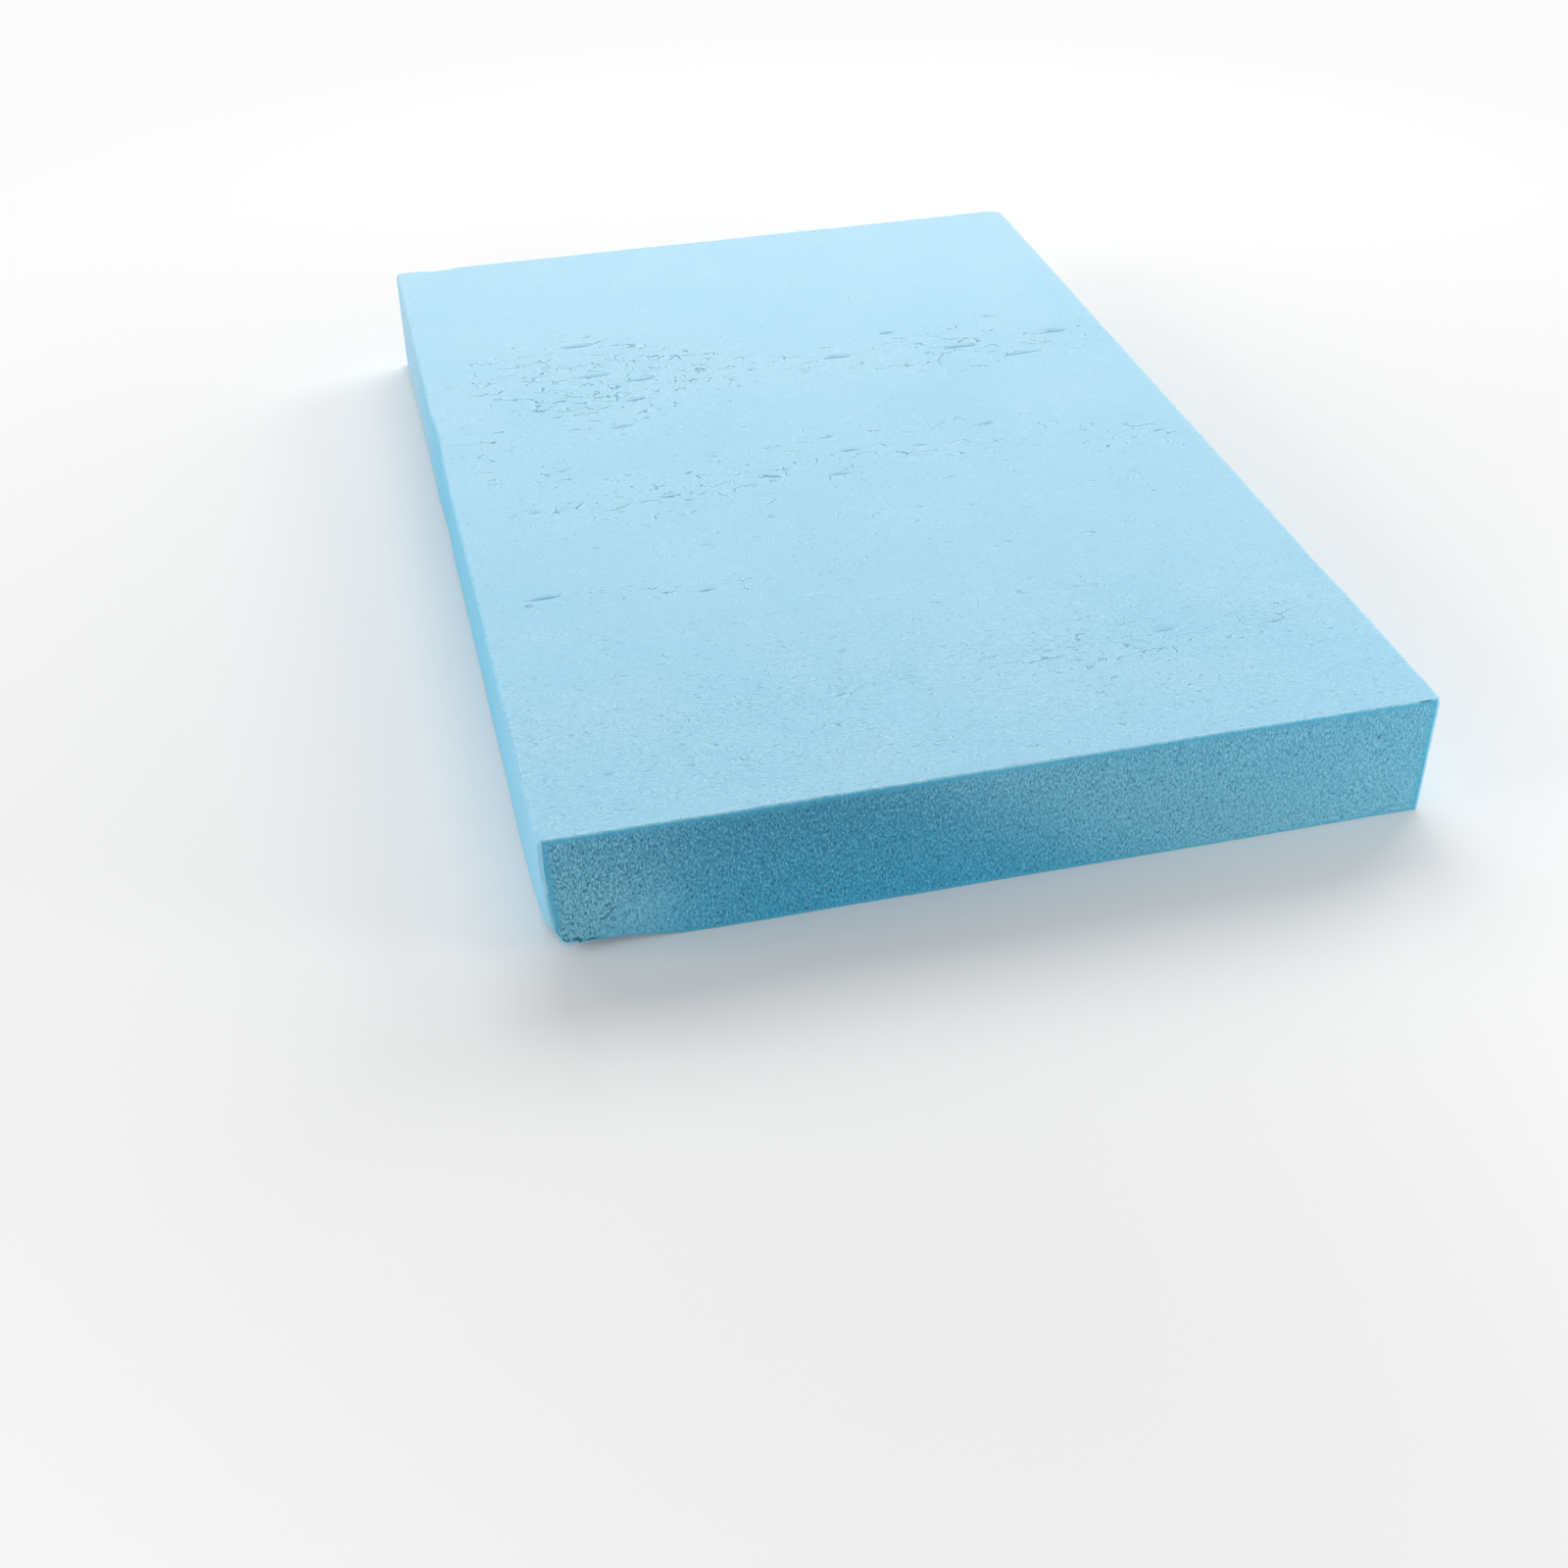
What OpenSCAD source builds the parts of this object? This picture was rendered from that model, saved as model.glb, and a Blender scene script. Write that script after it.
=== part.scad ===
// Foam block: a rectangular slab of pale blue extruded polystyrene, sawn from a wider board.
// X runs across the board, Y along the direction it was extruded in, Z up.
// The origin is at the middle of the flat underside.

/* [Slab] */
// Width of the slab, across the board
block_width = 200; // [140:1:400]
// Length of the slab, along the board
block_length = 300; // [200:1:600]
// Thickness from the underside to the top skin
block_thickness = 30.5; // [20:0.5:60]

/* [Edges] */
// Radius of the two long upper edges, where the skin rolls over
top_edge_radius = 1.2; // [0.4:0.1:4]
// Radius of the two long lower edges
bottom_edge_radius = 1; // [0.4:0.1:4]
// Radius of the four upright edges
upright_edge_radius = 1.4; // [0.4:0.1:4]

/* [Crushed corner] */
// Distance behind the front face at which the lower left edge is whole again
crush_back = 26; // [12:0.5:60]
// Reach of the crushed corner across and up the front face
crush_reach = 10.5; // [6:0.5:14]
// Depth of the crush, across and up, at the middle of its rounding
crush_depth = 3.7; // [2.5:0.1:4.5]

/* [Lifted front edge] */
// Width of the stretch of the lower front edge that is pressed up
lift_width = 40; // [20:1:60]
// Height that the edge is pressed up by
lift_height = 2.3; // [0.5:0.1:4]
// Distance from the left side to the middle of the stretch
lift_place = 10; // [0:0.5:40]
// Distance behind the front face at which the underside is whole again
lift_depth = 16; // [6:0.5:40]

/* [Dent in the front face] */
// Radius of the round dent above the lifted edge
dent_radius = 13; // [6:0.5:16]
// Depth of the dent at its left rim, from where it slopes out to nothing
dent_depth = 0.9; // [0.2:0.1:2]
// Distance from the left side to the middle of the dent
dent_place = 24; // [14:0.5:60]

/* [Back edge] */
// Length of the nick in the upper back edge
nick_length = 11; // [4:0.5:20]
// Depth of the nick, into the top and into the back face
nick_depth = 1.5; // [0.3:0.1:3]
// Distance from the left side to the middle of the nick
nick_place = 14; // [8:0.5:60]
// Reach of the wear at the back right corner along each upper edge
worn_reach = 4; // [1:0.5:8]

/* [Splits in the top skin] */
// Width of a split's mouth
split_width = 0.6; // [0.3:0.1:1.5]
// Depth of a split
split_depth = 0.9; // [0.4:0.1:2]

/* [Hidden] */

// Fineness of the small edge curves and of the large worn forms
$fn = 96;

// Overrun of a cutting body past the face that it cuts
over = 1;

// The main splits in the top skin, each as [place across in % of the width, place along in % of
// the length, length of the split]. They lie across the board, in loose bands.
splits = [
    [23, 77, 9], [68, 72, 5], [24, 70, 11], [92, 68, 9], [59, 68, 9], [30, 68, 10],
    [77, 67, 11], [53, 66, 5], [85, 64, 13], [28, 64, 6], [15, 64, 5], [25, 59, 8],
    [9, 57, 5], [51, 52, 5], [15, 52, 4], [73, 51, 5], [6, 51, 6], [53, 49, 5],
    [50, 45, 7], [27, 45, 5], [14, 45, 6], [10, 45, 4], [86, 45, 5], [8, 31, 8],
    [27, 29, 4], [76, 14, 5], [71, 13, 4], [89, 13, 6]
];

// Half sizes, from the origin to the sides and to the ends
half_width = block_width / 2;
half_length = block_length / 2;

// What is left of a square corner when a quarter circle is taken out of it: the shape that rounds
// a corner at [0, 0] which opens towards +X and +Y.
module corner_waste(radius) {
    difference() {
        translate([-over, -over]) square(radius + over);
        translate([radius, radius]) circle(r = radius);
    }
}

// The board's section across X and Z: flat skins above and below, with rounded long edges.
module board_section() {
    difference() {
        translate([-half_width, 0]) square([block_width, block_thickness]);
        for (side = [0, 1]) mirror([side, 0]) {
            translate([-half_width, 0]) corner_waste(bottom_edge_radius);
            translate([-half_width, block_thickness]) mirror([0, 1]) corner_waste(top_edge_radius);
        }
    }
}

// The slab's outline from above, with its four upright edges rounded.
module slab_outline() {
    difference() {
        square([block_width, block_length], center = true);
        for (side = [0, 1], end = [0, 1]) mirror([side, 0]) mirror([0, end])
            translate([-half_width, -half_length]) corner_waste(upright_edge_radius);
    }
}

// A length of board sawn square at both ends.
module sawn_slab() {
    intersection() {
        rotate([90, 0, 0]) linear_extrude(height = block_length + 2 * over, center = true)
            board_section();
        linear_extrude(height = block_thickness) slab_outline();
    }
}

// What a worn corner has lost. The corner is at the origin and the solid fills +X, +Y and +Z. The
// ball that is left meets the three edges at the given reach, and its centre lies as far from each
// face as the quadratic for that says.
module worn_corner_waste(reach, radius) {
    inward = (reach + sqrt(3 * radius * radius - 2 * reach * reach)) / 3;
    difference() {
        translate([-over, -over, -over]) cube(inward + over);
        translate([inward, inward, inward]) sphere(r = radius);
    }
}

// The back right upper corner, a little worn.
module worn_back_corner_waste() {
    translate([half_width, half_length, block_thickness]) mirror([1, 0, 0]) mirror([0, 1, 0])
        mirror([0, 0, 1]) worn_corner_waste(worn_reach, 2 * worn_reach);
}

// The front left lower corner, crushed in a fall. What is left there is part of a cone. Its point
// lies on the long edge, crush_back behind the front face, and it meets the front face at
// crush_reach on the corner's two sides and at crush_depth from both in between. Those two marks
// give the cone's axis, which leans in and up by crush_lean for each unit forwards, and its angle.
module crushed_corner_waste() {
    to_side = norm([crush_back, crush_reach]);
    to_middle = norm([crush_back, crush_depth, crush_depth]);
    crush_lean = crush_back * (to_side - to_middle)
        / (crush_reach * to_middle - 2 * crush_depth * to_side);
    axis = [crush_lean, -1, crush_lean] / norm([crush_lean, -1, crush_lean]);
    half_angle = acos((axis * [0, -crush_back, crush_reach]) / to_side);
    big = 3 * crush_back;
    translate([-half_width, crush_back - half_length, 0]) difference() {
        rotate([0, acos(1 / norm([1, crush_lean, 1])), atan(crush_lean)])
            translate([-big, -big, -big]) cube([2 * big, 2 * big, big]);
        rotate([0, acos(axis[2]), atan2(axis[1], axis[0])])
            cylinder(r1 = 0, r2 = big * tan(half_angle), h = big);
    }
}

// The lower front edge, pressed up over a stretch: a wide roller whose axis dips towards the back,
// so that it leaves the underside at lift_depth.
module lifted_edge_waste() {
    roller = (pow(lift_width / 2, 2) + pow(lift_height, 2)) / (2 * lift_height);
    dip = atan2(lift_height, lift_depth);
    translate([lift_place - half_width, -half_length, lift_height]) rotate([-dip, 0, 0])
        translate([0, 0, -roller]) rotate([-90, 0, 0])
            cylinder(r = roller, h = 4 * lift_depth, center = true, $fn = 200);
}

// The dent in the front face: a round-ended bar pressed in askew, deepest at its left rim.
module front_dent_waste() {
    askew = atan2(dent_depth, 2 * dent_radius);
    translate([dent_place - half_width + dent_radius, -half_length, 0]) rotate([0, 0, -askew])
        translate([-dent_radius, 0, 0]) rotate([90, 0, 0])
            cylinder(r = dent_radius, h = 4 * dent_radius);
}

// The nick in the upper back edge, as a ball leaves it: the ball's centre lies out from the edge
// by the same distance upwards and backwards.
module back_nick_waste() {
    out = (pow(nick_length / 2, 2) - pow(nick_depth, 2)) / (2 * nick_depth);
    translate([nick_place - half_width, half_length + out, block_thickness + out])
        sphere(r = sqrt(pow(nick_length / 2, 2) + 2 * out * out));
}

// One split across the board, at the origin, in a skin at height 0. A disc with a sharp rim leaves
// it: widest and deepest in the middle, and pointed at both ends.
module split(length) {
    disc = (pow(length / 2, 2) + pow(split_depth, 2)) / (2 * split_depth);
    flank = disc * (split_width / 2) / split_depth;
    translate([0, 0, disc - split_depth]) for (side = [0, 1]) mirror([0, side, 0])
        rotate([90, 0, 0]) cylinder(r1 = disc, r2 = 0, h = flank);
}

// All the main splits, in their places on the top skin.
module skin_splits() {
    for (s = splits)
        translate([(s[0] / 100 - 1 / 2) * block_width, (s[1] / 100 - 1 / 2) * block_length,
                   block_thickness])
            split(s[2]);
}

// The whole slab, as it is now.
module foam_block() {
    color("#a9dbf1") difference() {
        sawn_slab();
        crushed_corner_waste();
        worn_back_corner_waste();
        lifted_edge_waste();
        front_dent_waste();
        back_nick_waste();
        skin_splits();
    }
}

foam_block();
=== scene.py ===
"""Foam block: a slab of pale blue extruded polystyrene, sawn from a board.

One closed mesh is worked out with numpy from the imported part's box. Its top, underside and long
sides keep the smooth skin of the board, with the splits that the extruder left across it. Its two
ends are sawn, and show the open cells. Lengths here are in millimetres, in the part's own frame,
until the mesh is made.
"""

import math

import bpy
import numpy as np
from mathutils import Matrix, Vector


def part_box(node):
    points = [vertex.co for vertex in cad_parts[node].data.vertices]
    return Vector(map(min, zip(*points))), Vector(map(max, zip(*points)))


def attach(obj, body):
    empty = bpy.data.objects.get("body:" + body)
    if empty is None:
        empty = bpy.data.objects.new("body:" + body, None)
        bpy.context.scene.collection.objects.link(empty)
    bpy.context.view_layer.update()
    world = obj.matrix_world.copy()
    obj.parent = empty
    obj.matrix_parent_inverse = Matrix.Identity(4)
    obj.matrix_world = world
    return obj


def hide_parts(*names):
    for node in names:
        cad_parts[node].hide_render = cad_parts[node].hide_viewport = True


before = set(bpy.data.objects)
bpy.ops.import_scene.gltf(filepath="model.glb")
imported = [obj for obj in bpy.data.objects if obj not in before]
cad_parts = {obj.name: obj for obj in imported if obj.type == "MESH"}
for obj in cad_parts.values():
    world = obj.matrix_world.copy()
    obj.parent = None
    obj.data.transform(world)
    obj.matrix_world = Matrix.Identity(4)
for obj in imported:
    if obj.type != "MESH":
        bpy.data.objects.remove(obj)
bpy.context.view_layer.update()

MM = 0.001
LOW, HIGH = (np.array(corner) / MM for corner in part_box("foam_block"))
LEFT, FRONT, UNDER = LOW
RIGHT, BACK, TOP = HIGH
WIDTH, LENGTH, THICKNESS = HIGH - LOW

# ---------------------------------------------------------------- measures of the slab

TOP_EDGE_RADIUS = 1.2
BOTTOM_EDGE_RADIUS = 1.0
UPRIGHT_EDGE_RADIUS = 1.4
ROLLED_EDGE = 1.06      # the skin is rolled this far round the upright edges of the sawn faces
SAW_EDGE_RADIUS = 0.3

CRUSH_REACH = 6.8, 26.5     # the crushed lower corner's reach across and up the front face
CRUSH_HALF = 6.2, 12.7      # how far behind the face each reach has fallen to a half
CRUSH_POWER = 2.2           # 2 rounds as a circle does, and more keeps nearer to the square
CRUSH_UNEVEN = 0.06         # how unevenly it is crushed, as a share of its reach
CRUSH_LUMPS = 3.1, 4.0      # size of its lumps, along the edge and round it

LIFT_PLACE, LIFT_WIDTH = 10.0, 40.0     # the stretch of the lower front edge that is pressed up
LIFT_HEIGHT, LIFT_DEPTH = 2.3, 16.0     # how far up, and how far back it reaches

DENT_ACROSS, DENT_RADIUS, DENT_DEPTH = 12.0, 13.0, 0.9   # the round dent, its place in % across
DENT_RIM, DENT_FADE = 0.8, 4.0          # its rim's width, and how far behind the face it fades out
DENT_LOWERS = 0.74                      # the share of its depth that is taken off the lift
NICK_PLACE, NICK_LENGTH, NICK_DEPTH = 14.0, 11.0, 1.5    # the nick in the upper back edge
WORN_REACH = 4.0                        # the worn back right corner

TEAR_WIDTH, TEAR_DEPTH = 0.42, 0.5
# Torn lines of the front face, as (x, z) from its lower left corner: a curled flap of skin at the
# crushed corner, a wave beside it, the dent's upper left rim, a nick in the upper edge, and pits.
# They are pressed in, and shade is painted along them
TEARS = [
    [(3.8, 3.8), (4.3, 3.1), (5.3, 2.6), (6.5, 2.5), (7.7, 2.7), (6.8, 3.5), (6.0, 3.5), (6.4, 3.0)],
    [(8.8, 2.6), (9.5, 2.8), (10.2, 2.6), (11.1, 2.6)],
    [(15.6, 9.7), (14.6, 9.9), (14.1, 8.9), (13.4, 8.0), (12.6, 7.6), (11.9, 7.5)],
    [(194.5, 30.1), (195.6, 29.9), (196.9, 30.1)],
    [(8.9, 9.8), (9.1, 9.5)], [(5.9, 7.7), (5.9, 7.4)], [(7.1, 7.5), (7.2, 7.3)],
    [(4.2, 10.9), (4.2, 10.7)], [(186.0, 21.8), (186.4, 22.8)],
]

SPLIT_WIDTH, SPLIT_DEPTH = 1.5, 0.9
SPLIT_BENDS = (9.0, 0.42), (3.7, 0.26), (1.7, 0.16)      # size of a bend, and how far it strays
SPLIT_INSET = 6.0                       # within this of the long edges their lines run straighter
# Splits in the top skin: place across in % of the width, place along in % of the length, length,
# and share of the full depth
SPLITS = np.array([
    (23, 77, 9, 1), (68, 72, 5, 0.95), (24, 70, 11, 0.7), (92, 68, 9, 1), (59, 68, 9, 0.9),
    (30, 68, 10, 0.7), (77, 67, 11, 1), (53, 66, 5, 0.3), (85, 64, 13, 0.55), (28, 64, 6, 0.7),
    (15, 64, 5, 0.7), (25, 59, 8, 0.5), (9, 57, 5, 0.25), (51, 52, 5, 0.5), (15, 52, 4, 0.45),
    (73, 51, 5, 0.55), (6, 51, 6, 0.25), (53, 49, 5, 0.65), (50, 45, 7, 0.55), (27, 45, 5, 0.55),
    (14, 45, 6, 0.3), (10, 45, 4, 0.5), (86, 45, 5, 0.15), (8, 31, 8, 0.75), (27, 29, 4, 0.6),
    (76, 14, 5, 0.6), (71, 13, 4, 0.1), (89, 13, 6, 0.45),
], float)
# Lines between those, along % of the length, that carry only fine cracks
FINE_LEVELS = [2.5, 5, 7.5, 10, 16.5, 19, 22, 25, 33.5, 37, 40.5, 47, 54.5, 61, 62.5, 65.2, 73.5,
               74.8, 79, 81, 85]
FINE_CRACKS = 900                       # drawn at random, and kept only where the skin is crazed
FINE_LENGTHS, FINE_DEPTHS = (1.6, 5.5), (0.05, 0.2)     # depths as a share of a split's
FINE_INSET, FINE_KEPT = 3.0, 0.35       # from the long edges, and the share kept where it is crazed
# Where the skin is crazed: across %, along %, reach across %, reach along %, strength
CRAZED = [
    (24, 71, 22, 8, 1.0), (78, 67, 22, 6, 0.8), (50, 67, 12, 5, 0.45), (22, 61, 22, 5, 0.55),
    (10, 54, 10, 6, 0.5), (28, 47, 22, 5, 0.55), (62, 50, 20, 5, 0.5), (90, 45, 8, 4, 0.5),
    (50, 41, 60, 9, 0.25), (17, 30, 17, 1.6, 0.5), (50, 26, 55, 9, 0.2), (50, 9, 60, 10, 0.25),
    (76, 13, 24, 3, 0.3),
]

# A sawn cell, drawn out a little towards the skins. The real ones are about a third of this size,
# which is too fine to show
CELL_WIDTH, CELL_HEIGHT = 0.75, 1.2
CELL_DEPTH = 0.42                       # how deep the relief of the cells is cut
SIDE_SKIN, UNDER_SKIN = 1.6, 0.5        # the dense skin's thickness there, as times that of the top
RIM_WIDTH, RIM_CELLS = 1.2, 0.12        # the rim where it closes the cells, and what it leaves of them
DENT_CLOSES = 0.6                       # how far the dent's floor is pressed closed
# Where the saw ran clean, and a deeper blue is painted as shade: place in % across and reach as a
# share of the width, each with what the top has and what is added towards the underside
CLEAN_SHADED_PLACE, CLEAN_SHADED_REACH = (25, 12), (0.17, 0.15)
PALE_PLACE, PALE_REACH = (7, 9), (14, 10)       # the place of painted light by the crushed corner: % across, and height

# Waves in the faces: half their depth, and their size along the face's two axes
SWELL, RIPPLE = (0.10, 55, 40), (0.035, 24, 4.2)        # of the top skin
SIDE_WAVES = (0.14, 28, 30), (0.04, 5, 9)               # of the long sides
SAW_WAVE, SAW_NAP = (0.10, 17, 14), (0.15, 0.45, 1.1)   # of the sawn ends
FOLD_BANDS = 0.3, 60, 6                                 # of how finely the skin is folded
TOP_FADE, SIDE_FADE = 4.0, 6.0          # how far beyond a long edge the waves of each fade out
PUCKERS = 0.03, 3.4, 2.6                # the bowls of the crazed skin: depth, and size
SIDE_DIP, DIP_PLACE, DIP_REACH = 0.45, 61, 12           # the left side's dip, its place in % along

RAGGED_STEPS = (6.0, 0.10), (1.9, 0.10), (0.8, 0.12)    # the skin's torn edge: size and depth
RAGGED_DIVISOR = 1.4                    # what those depths are divided by
RAGGED_IN, RAGGED_DOWN = 1.5, 1.2       # how far in over the top, and down the end, it fades out
FRINGE_HIGHLIGHT_END, FRINGE_HIGHLIGHT_SIDE, FRINGE_HIGHLIGHT_DOWN = 0.6, 1.1, 1.5    # the pale fringe's reach at those edges, partly a painted highlight
LOW_ROLL, ROLL_TAPER, THIN_ROLL = 8.0, 10.0, 0.25       # the roll by the crushed corner thins
CORNER_LINE = 0.6                       # the line of skin along the corner's lower edge

# Grid lines close to an edge, counted from it
EDGE_LINES = 0.12, 0.3, 0.65, 1.05, 1.5
TOP_END_LINES = 0.12, 0.3, 0.7, 1.5
TOP_ROW_STEP = 1.6                      # the most between two rows of the top skin


# ---------------------------------------------------------------- fields of numbers

def soft_noise(u, v, seed):
    """Random heights, -1 to 1, at the whole numbers of u and v, joined by smooth steps. The seed
    draws them, so each run gives the same."""
    table = np.random.default_rng(seed).uniform(-1, 1, (256, 256))
    i, j = np.floor(u).astype(int), np.floor(v).astype(int)
    fu, fv = u - i, v - j
    fu, fv = fu * fu * (3 - 2 * fu), fv * fv * (3 - 2 * fv)
    a, b = table[i % 256, j % 256], table[(i + 1) % 256, j % 256]
    c, d = table[i % 256, (j + 1) % 256], table[(i + 1) % 256, (j + 1) % 256]
    return (a * (1 - fu) + b * fu) * (1 - fv) + (c * (1 - fu) + d * fu) * fv


def scattered_cells(u, v, seed):
    """One point is scattered in each unit square: the distance from (u, v) to the nearest one, and
    that point's own random number from 0 to 1."""
    spots = np.random.default_rng(seed).uniform(0, 1, (256, 256, 3))
    i, j = np.floor(u).astype(int), np.floor(v).astype(int)
    distance, own = np.full(u.shape, np.inf), np.zeros(u.shape)
    for di in (-1, 0, 1):
        for dj in (-1, 0, 1):
            spot = spots[(i + di) % 256, (j + dj) % 256]
            away = np.hypot(i + di + spot[..., 0] - u, j + dj + spot[..., 1] - v)
            nearer = away < distance
            distance = np.where(nearer, away, distance)
            own = np.where(nearer, spot[..., 2], own)
    return distance, own


def wave(u, v, shape, seed):
    """A wavy surface's distance under its highest level: half its depth times (1 + noise)."""
    half_depth, size_u, size_v = shape
    return half_depth * (1 + soft_noise(u / size_u, v / size_v, seed))


def smooth_step(x):
    """0 below 0, 1 above 1, and x squared times (3 - 2x) between them."""
    x = np.clip(x, 0, 1)
    return x * x * (3 - 2 * x)


def across(percent):
    """The x of a place given in % of the width."""
    return LEFT + WIDTH * np.asarray(percent) / 100


def along(percent):
    """The y of a place given in % of the length."""
    return FRONT + LENGTH * np.asarray(percent) / 100


def crazing(x, y):
    """How crazed the skin is, 0 to 1: the sum of soft patches, each falling off as a bell does."""
    total = np.zeros(np.shape(x))
    for place_x, place_y, reach_x, reach_y, strength in CRAZED:
        u = (x - across(place_x)) / (WIDTH * reach_x / 100)
        v = (y - along(place_y)) / (LENGTH * reach_y / 100)
        total += strength * np.exp(-(u ** 2 + v ** 2) ** 2)
    return np.clip(total, 0, 1)


def folding(x, y):
    """How finely the skin is folded, 0 to 1: little at the back, more in the middle and where it is
    crazed, and most over the front third, least so at its right. It comes in bands across."""
    front_third = smooth_step((along(30) - y) / 50) * (0.55 - 0.15 * (x - LEFT) / WIDTH)
    middle = 0.14 * smooth_step((along(83) - y) / 60)
    bands = 0.5 + wave(x, y, FOLD_BANDS, 61)
    return np.clip(0.15 + 0.45 * crazing(x, y) + (middle + front_third) * bands, 0, 1)


# ---------------------------------------------------------------- grid lines

def lines_between(start, end, step, near=EDGE_LINES, drawn=0.0):
    """Lines from start to end, ends left out: a fixed few close to each end, where the edge turns,
    and between them ones whose steps grow evenly from (1 - drawn) to (1 + drawn) of the step."""
    near = np.array(near)
    a, b = start + near[-1], end - near[-1]
    even = np.linspace(0, 1, max(2, round((b - a) / step) + 1))
    inner = a + (b - a) * even * (1 - drawn + drawn * even)
    return np.concatenate([start + near[:-1], inner, end - near[-2::-1]])


def rows_of_top():
    """Rows across the top skin: three at each line of splits, for a groove's bottom and its two
    shoulders, and even ones in the gaps that are left."""
    levels = along(np.unique(np.concatenate([SPLITS[:, 1], FINE_LEVELS])))
    grooves = (levels[:, None] + np.array([-1.0, 0.0, 1.0]) * SPLIT_WIDTH / 2).ravel()
    ends = FRONT + np.array(TOP_END_LINES), BACK - np.array(TOP_END_LINES)
    rows = np.sort(np.concatenate([grooves, *ends]))
    counts = [math.ceil((b - a) / TOP_ROW_STEP) + 1 for a, b in zip(rows, rows[1:])]
    fill = [np.linspace(a, b, n)[1:-1] for a, b, n in zip(rows, rows[1:], counts)]
    return np.sort(np.concatenate([rows, *fill])), levels


TOP_ROWS, SPLIT_LEVELS = rows_of_top()
# Each face's grid lines along its two axes, close enough for what shows on it
LINES = {
    "front": (lines_between(LEFT, RIGHT, 0.43, drawn=0.22),
              lines_between(UNDER, TOP, 0.5, drawn=0.2)),
    "back": (lines_between(LEFT, RIGHT, 0.8), lines_between(UNDER, TOP, 0.95)),
    "top": (lines_between(LEFT, RIGHT, 1.35), TOP_ROWS),
    "under": (lines_between(LEFT, RIGHT, 3.0, EDGE_LINES + (2.1, 2.8, 3.6, 4.6)),
              lines_between(FRONT, BACK, 4.0, (0.4, 1, 1.8, 2.8, 4, 5.5, 7.5, 10))),
    "left": (lines_between(FRONT, BACK, 2.2, (0.4, 0.8, 1.4, 2.2, 3.2, 4.5, 6)),
             lines_between(UNDER, TOP, 1.4)),
    "right": (lines_between(FRONT, BACK, 3.0, (0.4, 0.8, 1.5)), lines_between(UNDER, TOP, 2.4)),
}
# Each face: the axis that it faces along, its side of the box, and its two own axes
FACES = {
    "front": (1, 0, (0, 2)), "back": (1, 1, (0, 2)), "left": (0, 0, (1, 2)),
    "right": (0, 1, (1, 2)), "under": (2, 0, (0, 1)), "top": (2, 1, (0, 1)),
}


# ---------------------------------------------------------------- the closed box of grids

def zipped(row_a, at_a, row_b, at_b):
    """Triangles between two rows of points with different numbers of points. The middle of each
    step is put in order along the rows, and each step gets the other row's point of that moment."""
    middle_a, middle_b = (at_a[1:] + at_a[:-1]) / 2, (at_b[1:] + at_b[:-1]) / 2
    third_a = row_b[np.searchsorted(middle_b, middle_a, "left")]
    third_b = row_a[np.searchsorted(middle_a, middle_b, "right")]
    return np.concatenate([np.stack([row_a[:-1], row_a[1:], third_a], 1),
                           np.stack([row_b[1:], row_b[:-1], third_b], 1)])


def turned_out(loops, points, axis, side):
    """The same faces, with those turned round whose normal points into the box."""
    a, b, c = (points[loops[:, k]] for k in range(3))
    facing = np.cross(b - a, c - a)[:, axis] * (1 if side else -1)
    return np.where((facing < 0)[:, None], loops[:, ::-1], loops)


def box_of_grids():
    """The sharp-edged box as one closed mesh: a grid on each face, and zipped strips from each
    grid's border to the box's edges, whose points two faces share. Returns the points, the quads,
    the triangles, and for each of those its face's number."""
    blocks, count = [], 0

    def keep(block):
        """Adds points, and returns their numbers in the same layout."""
        nonlocal count
        blocks.append(block.reshape(-1, 3))
        numbers = count + np.arange(block[..., 0].size).reshape(block.shape[:-1])
        count += numbers.size
        return numbers

    ends = np.stack([LOW, HIGH])
    corner = keep(np.stack(np.meshgrid(*ends.T, indexing="ij"), -1))
    edges = {}
    for axis in range(3):
        others = [a for a in range(3) if a != axis]
        for sides in ((0, 0), (0, 1), (1, 0), (1, 1)):
            side = dict(zip(others, sides))
            owner = ("top" if side[2] else "left") if axis == 1 else ("back" if side[1] else "front")
            at = LINES[owner][0 if axis < 2 else 1]
            points = np.empty((len(at), 3))
            points[:, axis] = at
            for other in others:
                points[:, other] = ends[side[other], other]
            first, last = (tuple(side.get(a, end) for a in range(3)) for end in (0, 1))
            numbers = np.concatenate([[corner[first]], keep(points), [corner[last]]])
            edges[axis, sides] = numbers, np.concatenate([[LOW[axis]], at, [HIGH[axis]]])

    quads, triangles = [], []
    for number, (name, (axis, side, (u, v))) in enumerate(FACES.items()):
        lines_u, lines_v = LINES[name]
        points = np.empty((len(lines_u), len(lines_v), 3))
        points[..., u], points[..., v] = np.meshgrid(lines_u, lines_v, indexing="ij")
        points[..., axis] = ends[side, axis]
        grid = keep(points)
        known = np.concatenate(blocks)
        quad = np.stack([grid[:-1, :-1], grid[1:, :-1], grid[1:, 1:], grid[:-1, 1:]], -1)
        quads.append((number, turned_out(quad.reshape(-1, 4), known, axis, side)))
        for own, other, border in ((u, v, grid.T), (v, u, grid)):
            at = lines_u if own == u else lines_v
            for end in (0, 1):
                sides = tuple({axis: side, other: end}[a] for a in range(3) if a != own)
                strip = zipped(*edges[own, sides], border[-end], at)
                triangles.append((number, turned_out(strip, known, axis, side)))
    return np.concatenate(blocks), quads, triangles


# ---------------------------------------------------------------- forms

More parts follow.
